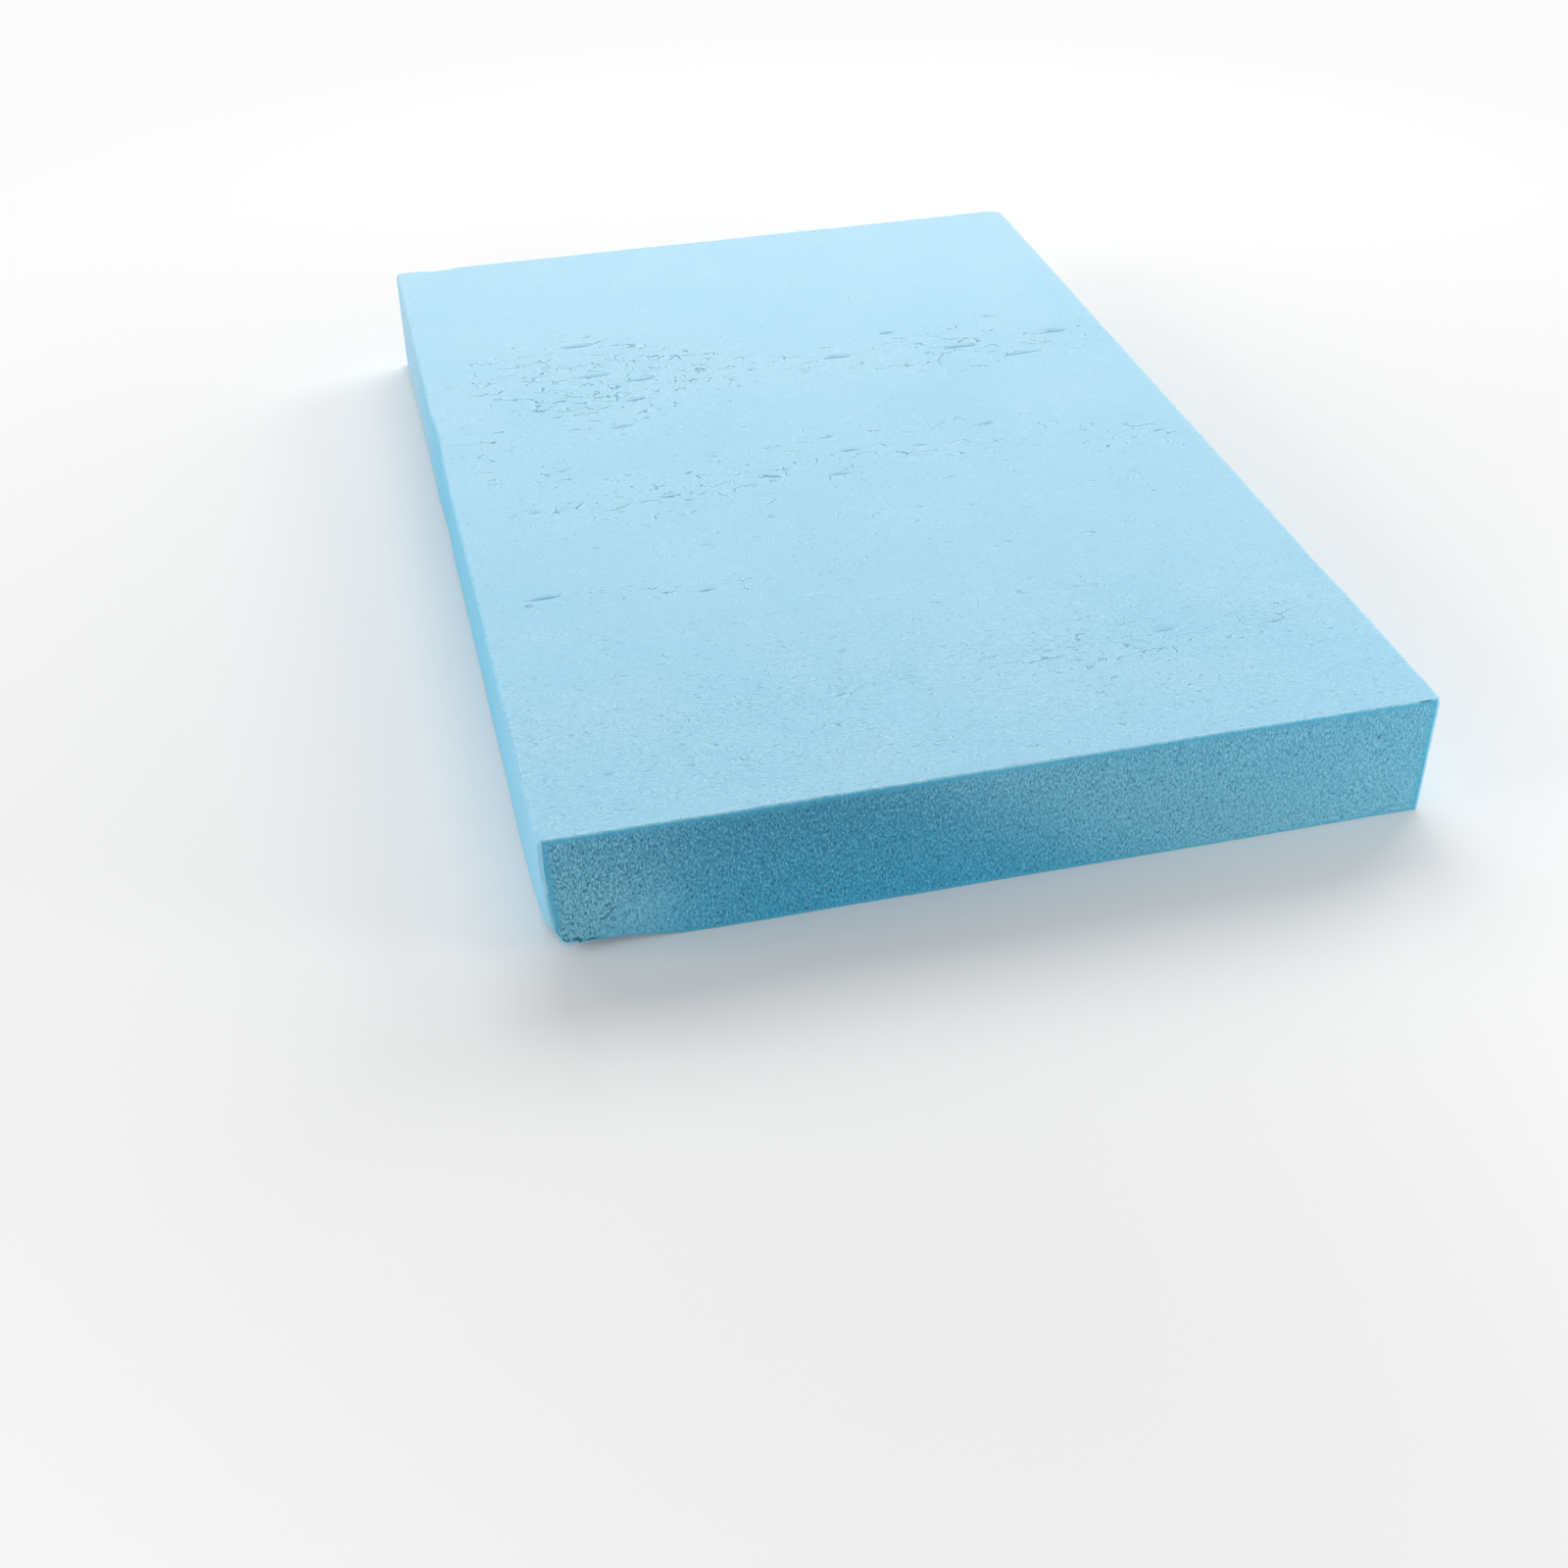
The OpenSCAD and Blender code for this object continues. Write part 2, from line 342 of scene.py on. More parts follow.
def round_corner(points, axes, corner, inward, reach, power=2.0):
    """Rounds a corner of the section across the two axes. Steps from the arc's centre are counted in
    its reach along each axis. Within that rectangle a point keeps its direction from the centre, and
    its distance shrinks from the rectangle's, the larger of its two steps, to the arc's, the root
    of the sum of the steps' powers."""
    a, b = axes
    reach_a, reach_b = reach if isinstance(reach, tuple) else (reach, reach)
    step_a = 1 - (points[:, a] - corner[0]) * inward[0] / reach_a
    step_b = 1 - (points[:, b] - corner[1]) * inward[1] / reach_b
    inside = (step_a > 0) & (step_b > 0)
    step_a, step_b = np.where(inside, step_a, 1), np.where(inside, step_b, 1)
    shrink = np.maximum(step_a, step_b) / (step_a ** power + step_b ** power) ** (1 / power)
    drawn_a = corner[0] + inward[0] * reach_a * (1 - step_a * shrink)
    drawn_b = corner[1] + inward[1] * reach_b * (1 - step_b * shrink)
    points[:, a] = np.where(inside, drawn_a, points[:, a])
    points[:, b] = np.where(inside, drawn_b, points[:, b])


def crush_share(y, half):
    """1 at the front face, and falling behind it as 1 over (1 + the distance squared)."""
    return 1 / (1 + ((y - FRONT) / half) ** 2)


def round_edges(points, sharp):
    """The board's long edges, with the crushed corner as a cut that grows towards the front, then
    the upright edges, then the thin roll of the four sawn edges."""
    shares = [crush_share(sharp[:, 1], half) for half in CRUSH_HALF]
    lumps_along, lumps_round = CRUSH_LUMPS
    lumps = soft_noise(sharp[:, 1] / lumps_along, sharp[:, 2] / lumps_round + sharp[:, 0] / lumps_round, 3)
    uneven = 1 + CRUSH_UNEVEN * lumps * shares[0]
    reach = tuple(np.maximum(BOTTOM_EDGE_RADIUS, full * share * uneven)
                  for full, share in zip(CRUSH_REACH, shares))
    power = 2 + (CRUSH_POWER - 2) * shares[0]
    ends_x, ends_y, ends_z = ((LEFT, 1), (RIGHT, -1)), ((FRONT, 1), (BACK, -1)), ((UNDER, 1), (TOP, -1))
    round_corner(points, (0, 2), (LEFT, UNDER), (1, 1), reach, power)
    round_corner(points, (0, 2), (RIGHT, UNDER), (-1, 1), BOTTOM_EDGE_RADIUS)
    for x, inward_x in ends_x:
        round_corner(points, (0, 2), (x, TOP), (inward_x, -1), TOP_EDGE_RADIUS)
    for x, inward_x in ends_x:
        for y, inward_y in ends_y:
            round_corner(points, (0, 1), (x, y), (inward_x, inward_y), UPRIGHT_EDGE_RADIUS)
    for y, inward_y in ends_y:
        for z, inward_z in ends_z:
            round_corner(points, (1, 2), (y, z), (inward_y, inward_z), SAW_EDGE_RADIUS)


def wear_back_corner(points):
    """The back right upper corner: what lies outside a ball is drawn in to it along its radius. The
    ball's radius is twice the worn reach, and it meets each edge at that reach from the corner."""
    radius = 2 * WORN_REACH
    inward = (WORN_REACH + math.sqrt(3 * radius ** 2 - 2 * WORN_REACH ** 2)) / 3
    step = points - (HIGH - inward)
    away = np.linalg.norm(step, axis=1)
    outside = (step > 0).all(axis=1) & (away > radius)
    points[outside] -= step[outside] * (1 - radius / away[outside])[:, None]


def nick_back_edge(points):
    """The nick in the upper back edge: what lies inside a ball is pushed out to its surface. The
    ball's centre is as far above the edge as behind it, where the ball cuts the edge over the nick's
    length and each face to its depth."""
    out = ((NICK_LENGTH / 2) ** 2 - NICK_DEPTH ** 2) / (2 * NICK_DEPTH)
    radius = math.sqrt((NICK_LENGTH / 2) ** 2 + 2 * out ** 2)
    step = points - np.array([LEFT + NICK_PLACE, BACK + out, TOP + out])
    away = np.linalg.norm(step, axis=1)
    inside = away < radius
    points[inside] += step[inside] * (radius / away[inside] - 1)[:, None]


def lift_front_edge(points, sharp):
    """The lower front edge, pressed up: an arch across, sloping to nothing towards the back. The
    rise fades out upwards as the square of what is left of the lower third. Where the dent sets the
    face back the edge is raised less. Where the crushed corner has already raised a point, the
    two heights are joined as the root of the sum of their squares."""
    arch = 1 - ((sharp[:, 0] - LEFT - LIFT_PLACE) / (LIFT_WIDTH / 2)) ** 2
    rise = LIFT_HEIGHT * (arch - (sharp[:, 1] - FRONT) / LIFT_DEPTH)
    rise -= DENT_LOWERS * DENT_DEPTH * dent_shape(sharp[:, 0], np.full(len(sharp), UNDER))
    fade = np.clip(1 - 3 * (sharp[:, 2] - UNDER) / THICKNESS, 0, 1) ** 2
    raised = points[:, 2] - sharp[:, 2]
    both = np.hypot(np.maximum(0, rise * fade), np.maximum(0, raised))
    points[:, 2] = sharp[:, 2] + np.where(rise * fade > 0, both, raised)


def dent_shape(x, z):
    """The round dent's depth: full at its left rim, sloping straight to nothing at the right."""
    u = (x - across(DENT_ACROSS) + DENT_RADIUS) / (2 * DENT_RADIUS)
    away = np.hypot(x - across(DENT_ACROSS), z - UNDER)
    return np.clip(1 - u, 0, 1) * smooth_step((DENT_RADIUS - away) / DENT_RIM + 0.5)


def dent_front(points, sharp):
    """Presses the dent into the front face, fading out within the first millimetres behind it."""
    fade = np.clip(1 - (sharp[:, 1] - FRONT) / DENT_FADE, 0, 1)
    points[:, 1] += DENT_DEPTH * dent_shape(sharp[:, 0], sharp[:, 2]) * fade


def wander(level, x):
    """How far a line of splits wanders from its level at each x: the sum of three noises, each
    finer and lower than the one before. Each level reads its own row of the noise."""
    return sum(far * soft_noise(x / size, level * 1.7 + 0 * x, 11) for size, far in SPLIT_BENDS)


def small_cracks():
    """Fine cracks as rows of (x, level, length, depth), drawn at random and kept where crazed."""
    rng = np.random.default_rng(21)
    x = rng.uniform(LEFT + FINE_INSET, RIGHT - FINE_INSET, FINE_CRACKS)
    level = rng.choice(SPLIT_LEVELS, FINE_CRACKS)
    length = rng.uniform(*FINE_LENGTHS, FINE_CRACKS) * rng.uniform(0.6, 1, FINE_CRACKS)
    depth = SPLIT_DEPTH * rng.uniform(*FINE_DEPTHS, FINE_CRACKS)
    kept = rng.uniform(0, 1, FINE_CRACKS) < FINE_KEPT * crazing(x, level)
    return np.stack([x, level, length, depth], 1)[kept]


def groove_depth(x, y):
    """Depth of the splits and cracks. Across a crack it falls straight to nothing at the groove's
    shoulders. Along it, it is the full depth times (1 - u squared) to the power 0.75, made ragged
    by a noise, where u goes from -1 at one tip to 1 at the other."""
    main = np.stack([across(SPLITS[:, 0]), along(SPLITS[:, 1]), SPLITS[:, 2],
                     SPLITS[:, 3] * SPLIT_DEPTH], 1)
    total = np.zeros(x.shape)
    for crack_x, level, length, depth in np.concatenate([main, small_cracks()]):
        u = (x - crack_x) / (length / 2)
        v = np.abs(y - level) / (SPLIT_WIDTH / 2)
        near = np.flatnonzero((v < 1) & (np.abs(u) < 1))
        u, v = u[near], v[near]
        ragged = 0.85 + 0.15 * soft_noise(x[near] / 1.6, y[near] * 0 + level, 5)
        groove = depth * (1 - u ** 2) ** 0.75 * ragged * (1 - v)
        total[near] = np.maximum(total[near], groove)
    return total


def skin_relief(x, y):
    """How far the top skin lies below its highest level: long swells, ripples across the board,
    and small puckers where it is crazed."""
    depth, size_x, size_y = PUCKERS
    away, own = scattered_cells(x / size_x, y / size_y, 33)
    pucker = depth * crazing(x, y) * own * (1 - np.clip(away / 0.7, 0, 1) ** 2)
    return wave(x, y, SWELL, 31) + wave(x, y, RIPPLE, 32) + pucker


def shape_top(points, sharp):
    """Cuts the splits and the relief of the skin into the top. The relief fades out down the sides.
    The rows of points wander with their line of splits, by a share that falls off beside it."""
    x, y = sharp[:, 0], sharp[:, 1]
    top_share = smooth_step(1 - (TOP - sharp[:, 2]) / TOP_FADE)
    on_top = sharp[:, 2] == TOP
    inner = smooth_step(np.minimum(RIGHT - x, x - LEFT) / SPLIT_INSET)
    shift = np.zeros(len(x))
    for level in SPLIT_LEVELS:
        share = smooth_step(1.6 - np.abs(y - level) / 1.1) * inner * on_top
        near = share > 0
        shift[near] += share[near] * wander(level, x[near])
    points[:, 1] += shift
    groove = groove_depth(x, y) * on_top
    points[:, 2] -= groove + skin_relief(x, y) * top_share
    return groove


def cell_relief(x, z, seed):
    """Depth of the sawn cells: each is a bowl about its scattered point, some deep, most shallow,
    and the saw leaves a fine nap on them."""
    away, own = scattered_cells(x / CELL_WIDTH, z / CELL_HEIGHT, seed)
    bowl = (0.25 + 0.75 * own ** 2) * (1 - np.clip(away / 0.75, 0, 1) ** 2)
    return 0.55 * bowl + wave(x, z, SAW_NAP, seed + 1)


def rim_distance(sharp):
    """Distance of a point of a sawn face from the nearest skin, at the four sides of the face, each
    counted in that side's thickness of skin as times the top's."""
    x, z = sharp[:, 0], sharp[:, 2]
    from_sides = np.minimum(x - LEFT, RIGHT - x) / SIDE_SKIN
    return np.minimum(from_sides, np.minimum((z - UNDER) / UNDER_SKIN, TOP - z))


def clean_cut_and_shade_share(x, z):
    """Where the saw tore the cells little, and a deeper blue is painted as shade: a broad bell about a
    place left of the middle of the face. Towards the underside it is wider, and its middle lies further
    right."""
    low = (TOP - z) / THICKNESS
    place, reach = (at_top + more * low for at_top, more in (CLEAN_SHADED_PLACE, CLEAN_SHADED_REACH))
    away = np.abs(x - across(place)) / (WIDTH * reach)
    return np.exp(-away ** 3)


def worn_share(x, z):
    """Where light is painted on the sawn face, making it paler: a bell about a place by the crushed corner.
    """
    u = (x - across(PALE_PLACE[0])) / PALE_REACH[0]
    v = (z - UNDER - PALE_PLACE[1]) / PALE_REACH[1]
    return np.exp(-u ** 2 - v ** 2)


def tear_share(x, z):
    """1 on a torn line of the front face, falling straight to 0 at its half width."""
    distance = np.full(x.shape, np.inf)
    for path in TEARS:
        corners = np.array(path) + (LEFT, UNDER)
        for (ax, az), (bx, bz) in zip(corners[:-1], corners[1:]):
            length = (bx - ax) ** 2 + (bz - az) ** 2
            share = np.clip(((x - ax) * (bx - ax) + (z - az) * (bz - az)) / length, 0, 1)
            away = np.hypot(x - ax - share * (bx - ax), z - az - share * (bz - az))
            distance = np.minimum(distance, away)
    return np.clip(1 - distance / TEAR_WIDTH, 0, 1)


def ragged_edge(x, seed):
    """How far the torn edge of the skin stands back at each x, in three sizes of raggedness."""
    line = seed + 0 * x
    depths = [depth * (1 + soft_noise(x / size, line, seed)) for size, depth in RAGGED_STEPS]
    return sum(depths) / RAGGED_DIVISOR


def shape_sawn_ends(points, sharp):
    """Cuts the cells into both sawn faces. The dense skin at the rim has hardly any, nor has the
    pressed floor of the dent."""
    inside = smooth_step(rim_distance(sharp) / RIM_WIDTH - 0.15)
    open_cells = RIM_CELLS + (1 - RIM_CELLS) * inside
    relief = np.zeros(len(sharp))
    for y, inward, seed in ((FRONT, 1, 41), (BACK, -1, 43)):
        face = sharp[:, 1] == y
        depth = cell_relief(sharp[face, 0], sharp[face, 2], seed)
        pressed = dent_shape(sharp[face, 0], sharp[face, 2]) > 0 if inward == 1 else 0
        depth *= open_cells[face] * (1 - DENT_CLOSES * pressed)
        uneven = wave(sharp[face, 0], sharp[face, 2], SAW_WAVE, seed + 2)
        points[face, 1] += inward * (CELL_DEPTH * depth + uneven)
        relief[face] = depth
        by_face = np.clip(1 - np.abs(sharp[:, 1] - y) / RAGGED_IN, 0, 1)
        by_top = np.clip(1 - (TOP - sharp[:, 2]) / RAGGED_DOWN, 0, 1)
        points[:, 1] += inward * by_face * by_top * ragged_edge(sharp[:, 0], seed + 5)
    tear = tear_share(points[:, 0], points[:, 2]) * (sharp[:, 1] == FRONT)
    points[:, 1] += TEAR_DEPTH * tear
    return relief, tear


def shape_sides(points, sharp):
    """The long sides are a little wavy, fading out towards the middle of the board. The left one
    has a dip too, as a bell along it."""
    x, y, z = sharp.T
    for side, inward, seed in ((LEFT, 1, 51), (RIGHT, -1, 52)):
        fade = np.clip(1 - np.abs(x - side) / SIDE_FADE, 0, 1)
        waves = sum(wave(y, z, shape, seed) for shape in SIDE_WAVES)
        dip = SIDE_DIP * np.exp(-((y - along(DIP_PLACE)) / DIP_REACH) ** 2) if side == LEFT else 0
        points[:, 0] += inward * fade * (waves + dip)


def fringe_and_highlight_share(sharp):
    """The pale torn fringe of the skin, partly a painted highlight along the edges: a bell about each
    sawn edge, and a lower, wider one about each long edge, fading out straight down the faces below."""
    to_end = np.minimum(sharp[:, 1] - FRONT, BACK - sharp[:, 1])
    to_side = np.minimum(sharp[:, 0] - LEFT, RIGHT - sharp[:, 0])
    at_end, at_side = np.exp(-(to_end / FRINGE_HIGHLIGHT_END) ** 2), 0.85 * np.exp(-(to_side / FRINGE_HIGHLIGHT_SIDE) ** 2)
    return np.maximum(at_end, at_side) * np.clip(1 - (TOP - sharp[:, 2]) / FRINGE_HIGHLIGHT_DOWN, 0, 1)


def in_rolled_skin(middles):
    """Whether the middle of a face of a sawn end lies in the skin that is rolled round the upright
    edges. Down to the crushed corner the roll is drawn out to a quarter, and it goes on as a thin
    line along the corner's lower edge."""
    x, y, z = middles.T
    by_corner = (x < LEFT + 2 * CRUSH_REACH[0]) & (y < 0)
    taper = np.clip((z - UNDER - LOW_ROLL) / ROLL_TAPER, THIN_ROLL, 1)
    width = ROLLED_EDGE * np.where(by_corner, taper, 1)
    below = (z - UNDER < CORNER_LINE) & (x - LEFT < CRUSH_REACH[0]) & (y < 0)
    return (np.minimum(x - LEFT, RIGHT - x) < width) | below


# ---------------------------------------------------------------- the mesh

def foam_mesh():
    """The slab as one closed mesh in metres. The numbers that its materials read are kept at its
    points, and its faces are numbered 0 in the skin and 1 where they are sawn."""
    sharp, quads, triangles = box_of_grids()
    points = sharp.copy()
    round_edges(points, sharp)
    wear_back_corner(points)
    nick_back_edge(points)
    lift_front_edge(points, sharp)
    dent_front(points, sharp)
    shape_sides(points, sharp)
    groove = shape_top(points, sharp)
    cells, tear = shape_sawn_ends(points, sharp)
    points = np.clip(points, LOW, HIGH)

    loops, middles, face_numbers = [], [], []
    for number, group in quads + triangles:
        loops += group.tolist()
        middles.append(sharp[group].mean(axis=1))
        face_numbers.append(np.full(len(group), number))
    face_numbers = np.concatenate(face_numbers)
    mesh = bpy.data.meshes.new("foam_slab")
    mesh.from_pydata((points * MM).tolist(), [], loops)
    sawn = [list(FACES).index(name) for name in ("front", "back")]
    cut = np.isin(face_numbers, sawn) & ~in_rolled_skin(np.concatenate(middles))
    mesh.polygons.foreach_set("material_index", cut.astype(np.int32))
    mesh.polygons.foreach_set("use_smooth", np.ones(len(face_numbers), bool))
    x, y, z = sharp.T
    at_points = {
        "groove": np.clip(groove / SPLIT_DEPTH, 0, 1),
        "crazed": crazing(x, y),
        "folded": folding(x, y),
        "cell": cells,
        "skin_distance": rim_distance(sharp),
        "clean_cut_and_shade": clean_cut_and_shade_share(x, z),
        "worn": worn_share(x, z),
        "pressed": smooth_step(2.5 * dent_shape(x, z)),
        "tear": tear,
        "fringe_and_highlight": fringe_and_highlight_share(sharp),
    }
    for name, values in at_points.items():
        attribute = mesh.attributes.new(name, "FLOAT", "POINT")
        attribute.data.foreach_set("value", values.astype(np.float32))
    mesh.update()
    return mesh


# ---------------------------------------------------------------- materials

def linear(hex_colour):
    """An sRGB hex colour as linear red, green, blue and alpha."""
    parts = [int(hex_colour[i:i + 2], 16) / 255 for i in (1, 3, 5)]
    return [p / 12.92 if p <= 0.04045 else ((p + 0.055) / 1.055) ** 2.4 for p in parts] + [1]


def add(tree, kind, inputs=(), **settings):
    """Adds a node. Settings are its properties. Inputs are its sockets, by name or in the order of
    those in use, and each is given a value, a socket, or a node, whose first output in use is
    linked. A MapRange takes a number, the two ends of its stretch, and what it gives at each."""
    node = tree.nodes.new("ShaderNode" + kind)
    for name, value in settings.items():
        setattr(node, name, value)
    in_use = [socket for socket in node.inputs if socket.enabled]
    named = inputs if isinstance(inputs, dict) else dict(enumerate(inputs))
    for name, value in named.items():
        socket = node.inputs[name] if isinstance(name, str) else in_use[name]
        if isinstance(value, bpy.types.Node):
            value = next(output for output in value.outputs if output.enabled)
        if isinstance(value, bpy.types.NodeSocket):
            tree.links.new(value, socket)
        else:
            socket.default_value = value
    return node


def new_material(name):
    """An empty material, and its node tree."""
    material = bpy.data.materials.new(name)
    material.use_nodes = True
    material.node_tree.nodes.clear()
    return material, material.node_tree


def millimetres(tree):
    """Object coordinates in millimetres, so a pattern's Scale is how many of it one of them holds."""
    place = add(tree, "TexCoord").outputs["Object"]
    return add(tree, "VectorMath", [place, (1000, 1000, 1000)], operation="MULTIPLY")


# Three kinds of fine crack: the size of the cells whose borders they follow and of the patches that
# show them, across, along and down, the noise level that a patch has to pass where there are few
# and where there are many, and their width as a share of a cell
LONG_CRACKS = {"cell": (6.0, 4.0, 6.0), "patch": (7.0, 2.6, 7.0), "few": 0.69, "many": 0.5, "width": 0.05}
SHORT_CRACKS = {"cell": (2.6, 1.5, 2.6), "patch": (3.0, 0.9, 3.0), "few": 0.73, "many": 0.53, "width": 0.09}
WRINKLES = {"cell": (3.6, 3.4, 3.6), "patch": (7.0, 4.0, 7.0), "few": 0.66, "many": 0.44, "width": 0.07}


def hair_cracks(tree, place, share, cell, patch, few, many, width):
    """Broken cracks: the borders of cells drawn out across the board, which meet in small stars,
    shown only in the short stretches where a noise is above a level. That level falls from few to
    many with the share. Returns the crack, where shade is painted, and the lip beside it, where a
    highlight is painted, each 0 to 1. The lip is brightest at the crack's width, and ends at three
    times that."""
    wavy = add(tree, "TexNoise", {"Vector": place, "Scale": 0.7, "Detail": 2.0}).outputs["Color"]
    shift = add(tree, "VectorMath", [wavy, (0.4, 0.4, 0.4)], operation="MULTIPLY")
    even = add(tree, "VectorMath", [place, cell], operation="DIVIDE")
    warped = add(tree, "VectorMath", [even, shift], operation="ADD")
    border = add(tree, "TexVoronoi", {"Vector": warped, "Scale": 1.0}, feature="DISTANCE_TO_EDGE")
    hair = add(tree, "MapRange", [border, 0.0, width, 1.0, 0.0], interpolation_type="SMOOTHSTEP")
    outer = add(tree, "MapRange", [border, width, 3 * width, 1.0, 0.0])
    inner = add(tree, "MapRange", [border, 0.5 * width, width, 0.0, 1.0])
    lip_highlight = add(tree, "Math", [inner, outer], operation="MULTIPLY")

    patches = add(tree, "VectorMath", [place, patch], operation="DIVIDE")
    noise = add(tree, "TexNoise", {"Vector": patches, "Scale": 1.0, "Detail": 1.0})
    level = add(tree, "MapRange", [share, 0.0, 1.0, few, many])
    above = add(tree, "Math", [noise, level], operation="SUBTRACT")
    shown = add(tree, "MapRange", [above, 0.0, 0.08, 0.0, 1.0], interpolation_type="SMOOTHSTEP")
    return [add(tree, "Math", [part, shown], operation="MULTIPLY") for part in (hair, lip_highlight)]


def extruded_skin():
    """Extruded polystyrene's own skin: closed, smooth and satin, a pale blue that light enters a
    millimetre deep, painted paler towards the back end as light and sheen from the lights there.
    Pulled out of the die, it is crazed across the board: hair-fine cracks a few millimetres long,
    with painted shade in them and a painted highlight on their lip, and fine folds between them,
    with painted shade in their hollows and painted highlights on their ridges. The long sides are a
    deeper blue, most in their middle, fading out at the back of the left side as a painted
    reflection. Painted shade darkens the splits, where light is lost. The sawn edge is torn into a
    thin pale fringe, which is partly a painted highlight along the edges."""
    material, tree = new_material("extruded_polystyrene_skin")
    place = millimetres(tree)
    parts = add(tree, "SeparateXYZ", [place]).outputs
    facing = add(tree, "SeparateXYZ", [add(tree, "NewGeometry").outputs["True Normal"]]).outputs
    at_points = {name: add(tree, "Attribute", attribute_name=name).outputs["Fac"]
                 for name in ("crazed", "folded", "fringe_and_highlight", "groove")}
    crazed, folded = at_points["crazed"], at_points["folded"]
    stretch = add(tree, "VectorMath", [place, (1.3, 0.6, 1.3)], operation="DIVIDE")
    folds = add(tree, "TexNoise", {"Vector": stretch, "Scale": 1.0, "Detail": 1.5, "Roughness": 0.6})
    grain = add(tree, "TexNoise", {"Vector": place, "Scale": 1.1, "Detail": 3.0, "Roughness": 0.55})
    patches = add(tree, "TexNoise", {"Vector": place, "Scale": 0.03, "Detail": 2.0})

    # Each kind of crack: where it is, its sizes, how much shade is painted in it, and how bright a
    # highlight is painted on its lip
    darker = add(tree, "MapRange", [crazed, 0.1, 0.6, 0.45, 0.9])
    kinds = [(crazed, LONG_CRACKS, darker, 1.0), (folded, SHORT_CRACKS, 0.45, 1.0),
             (folded, WRINKLES, 0.12, 0.5)]
    crack, lip_highlight = 0.0, 0.0
    for share, sizes, dark, bright in kinds:
        hair, edge = hair_cracks(tree, place, share, **sizes)
        hair = add(tree, "Math", [hair, dark], operation="MULTIPLY")
        edge = add(tree, "Math", [edge, bright], operation="MULTIPLY")
        crack = add(tree, "Math", [crack, hair], operation="MAXIMUM")
        lip_highlight = add(tree, "Math", [lip_highlight, edge], operation="MAXIMUM")
    on_top = add(tree, "MapRange", [facing["Z"], 0.7, 0.95, 0.0, 1.0])
    crack = add(tree, "Math", [crack, on_top], operation="MULTIPLY")
    lip_highlight = add(tree, "Math", [lip_highlight, on_top], operation="MULTIPLY")

    # painted light: the skin is made paler towards the back end, standing in for the light and sheen from
    # the back
    painted_back_light = add(tree, "MapRange", [parts["Y"], FRONT, BACK, -0.1, 0.8])
    cloudy = add(tree, "MapRange", [patches, 0.3, 0.7, 0.0, 0.3])
    tone_and_back_light = add(tree, "Math", [painted_back_light, cloudy], operation="ADD", use_clamp=True)

    sideways = add(tree, "Math", [facing["X"]], operation="ABSOLUTE")
    upright = add(tree, "MapRange", [sideways, 0.3, 0.9, 0.0, 1.0])
    # painted reflection: the deeper blue fades out towards the back of the left side, as if the white room
    # were reflected there at a grazing angle
    left_reflection_fade = add(tree, "MapRange", [parts["Y"], along(61.667), along(85), 1.0, 0.15])
    right_back = add(tree, "MapRange", [parts["X"], across(10), across(90), 0.0, 0.75])
    back_end = add(tree, "Math", [left_reflection_fade, right_back], operation="MAXIMUM")
    front_end = add(tree, "MapRange", [parts["Y"], FRONT, along(30), 0.4, 1.0])
    ends = add(tree, "Math", [front_end, back_end], operation="MULTIPLY")
    side = add(tree, "Math", [upright, ends], operation="MULTIPLY")

    mottled = add(tree, "MapRange", [grain, 0.35, 0.65, 0.0, 0.1])
    torn = add(tree, "MapRange", [folds, 0.35, 0.55, 0.0, 0.5])
    fringe_and_highlight = add(tree, "Math", [torn, at_points["fringe_and_highlight"]], operation="MULTIPLY")
    # painted shade in the folds' hollows
    hollow_shade = add(tree, "MapRange", [folds, 0.5, 0.25, 0.0, 0.24])
    shaded = add(tree, "Math", [hollow_shade, folded], operation="MULTIPLY")
    # painted highlights on the folds' ridges and on the cracks' lips
    ridge_highlight = add(tree, "MapRange", [folds, 0.5, 0.75, 0.0, 0.8])
    lit = add(tree, "Math", [ridge_highlight, folded], operation="MULTIPLY")
    lit = add(tree, "Math", [lit, lip_highlight], operation="MAXIMUM")
    # painted shade in the splits, darker where they are deeper
    split_shade = add(tree, "MapRange", [at_points["groove"], 0.05, 0.6, 0.0, 1.0])

    # the base blue, with painted light towards the back and a random tone
    skin = add(tree, "Mix", [tone_and_back_light, linear("#9CD3ED"), linear("#B3DDF2")], data_type="RGBA")
    layers = [
        (side, "#7ECEEE", "MIX"),           # the deeper blue of the long sides, fading out at the back of the left side as a painted reflection
        (mottled, "#8CC6E2", "MIX"),
        # the torn edge's pale fringe, partly a painted highlight along the edges
        (fringe_and_highlight, "#B9E8F8", "MIX"),
        (shaded, "#CBD7DD", "MULTIPLY"),    # painted shade in the folds' hollows
        (lit, "#5C6449", "ADD"),            # painted highlights on their ridges and on the lips of the cracks
        # painted shade in the hair cracks
        (crack, "#98BACB", "MULTIPLY"),
        (split_shade, "#8AB2CC", "MULTIPLY"),      # painted shade in the bottoms of the splits
    ]
    for share, colour, how in layers:
        skin = add(tree, "Mix", [share, skin, linear(colour)], data_type="RGBA", blend_type=how)

    height = add(tree, "Math", [folds, folded], operation="MULTIPLY")
    folding = add(tree, "Bump", {"Strength": 1.0, "Distance": 0.3 * MM, "Height": height})
    sunk = add(tree, "Bump", {"Strength": 1.0, "Distance": 0.2 * MM, "Height": crack, "Normal": folding},
               invert=True)
    fine = add(tree, "Bump", {"Strength": 1.0, "Distance": 0.05 * MM, "Height": grain, "Normal": sunk})
    shader = add(tree, "BsdfPrincipled", {
        "Base Color": skin, "Normal": fine, "Roughness": 0.6, "IOR": 1.5, "Specular IOR Level": 0.35,
        "Subsurface Weight": 0.1, "Subsurface Radius": (0.8, 1.0, 1.2), "Subsurface Scale": 0.6 * MM,
    })
    add(tree, "OutputMaterial", {"Surface": shader})
    return material


